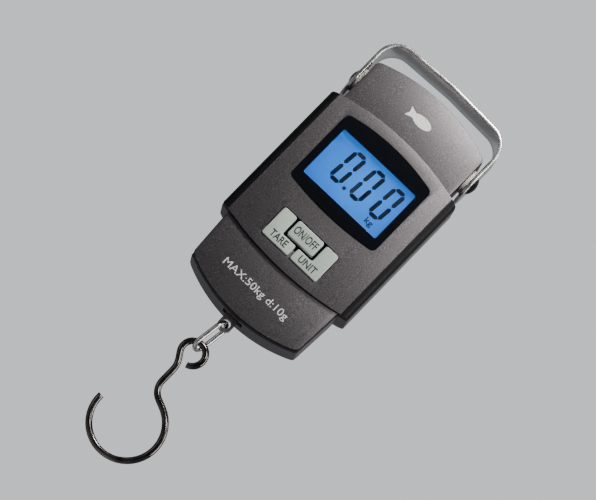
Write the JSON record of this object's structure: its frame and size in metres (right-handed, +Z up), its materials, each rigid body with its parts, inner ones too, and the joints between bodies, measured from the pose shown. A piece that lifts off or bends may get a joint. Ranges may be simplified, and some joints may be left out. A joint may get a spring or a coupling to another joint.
{
  "type": "digital fish scale",
  "caption": "Hanging digital scale with a pivoting strap handle, a lit display, sprung buttons, a sliding battery door, and a wire link and open hook hung from its load cell.",
  "frame": {"origin": "middle of the underside of the handle's grip, where a hand or a rod carries the scale", "axes": "+Z up along the hanging scale, +X to the right as the display is read, -Y out of the display"},
  "size_m": [0.067, 0.0285, 0.2014],
  "materials": {
    "plated_steel": "bright plated",
    "black_steel": "black oxide",
    "bar_steel": "zinc plated",
    "cell_alloy": "milled",
    "white_nylon": "satin",
    "face_paint": "metallic fleck paint",
    "black_trim": "gloss moulded",
    "back_plastic": "satin moulded",
    "gloss_lens": "polished",
    "lit_crystal": "backlit",
    "crystal_segment": "printed",
    "white_print": "pad printed",
    "button_plastic": "satin moulded",
    "white_holder": "moulded",
    "diffuser": "frosted",
    "pink_elastomer": "striped",
    "board_green": "solder mask",
    "black_resin": "potted",
    "gauge_film": "film",
    "battery_sleeve": "printed sleeve",
    "contact_metal": "nickel plated",
    "wire_red": "insulation"
  },
  "bodies": {
    "handle": {"handle_strap": "plated_steel"},
    "case": {"pivot_screws": "black_steel", "pivot_washers": "white_nylon", "cross_bar": "bar_steel", "front_cover": "face_paint", "back_cover": "back_plastic", "display_lens": "gloss_lens", "lcd_glass": "lit_crystal", "lcd_backlight": "diffuser", "lcd_frame": "white_holder", "zebra_strip": "pink_elastomer", "circuit_board": "board_green", "controller_chip": "black_resin", "tact_switches": "bar_steel", "load_cell": "cell_alloy", "strain_gauges": "gauge_film", "cell_screws": "bar_steel", "load_eye": "black_steel", "batteries": "battery_sleeve", "battery_contacts": "contact_metal", "battery_springs": "contact_metal", "case_screws": "black_steel", "board_screws": "bar_steel", "gauge_wires": "wire_red", "battery_wires": "wire_red"},
    "on_off_button": {"on_off_button": "button_plastic"},
    "tare_button": {"tare_button": "button_plastic"},
    "unit_button": {"unit_button": "button_plastic"},
    "battery_door": {"battery_door": "back_plastic"},
    "link": {"link": "plated_steel"},
    "hook": {"hook": "plated_steel"}
  },
  "joints": [
    {"name": "case_swing", "type": "hinge", "parent": "handle", "child": "case", "pos_m": [0, 0, -0.0215], "axis": [1, 0, 0], "range_deg": [-90, 90]},
    {"name": "on_off_button_press", "type": "slide", "parent": "case", "child": "on_off_button", "axis": [0, 1, 0], "range_m": [0, 0.0005], "stiffness_N_per_m": 600},
    {"name": "tare_button_press", "type": "slide", "parent": "case", "child": "tare_button", "axis": [0, 1, 0], "range_m": [0, 0.0005], "stiffness_N_per_m": 600},
    {"name": "unit_button_press", "type": "slide", "parent": "case", "child": "unit_button", "axis": [0, 1, 0], "range_m": [0, 0.0005], "stiffness_N_per_m": 600},
    {"name": "battery_door_slide", "type": "slide", "parent": "case", "child": "battery_door", "axis": [0, 0, -1], "range_m": [0, 0.014]},
    {"name": "link_swing", "type": "hinge", "parent": "case", "child": "link", "pos_m": [-0.00046, 0, -0.13227], "axis": [0.9047, -0.4067, -0.1271], "range_deg": [-40, 40]},
    {"name": "hook_swing", "type": "hinge", "parent": "link", "child": "hook", "pos_m": [-0.0013, 0, -0.1464], "axis": [0, 1, 0], "range_deg": [-60, 60]}
  ]
}
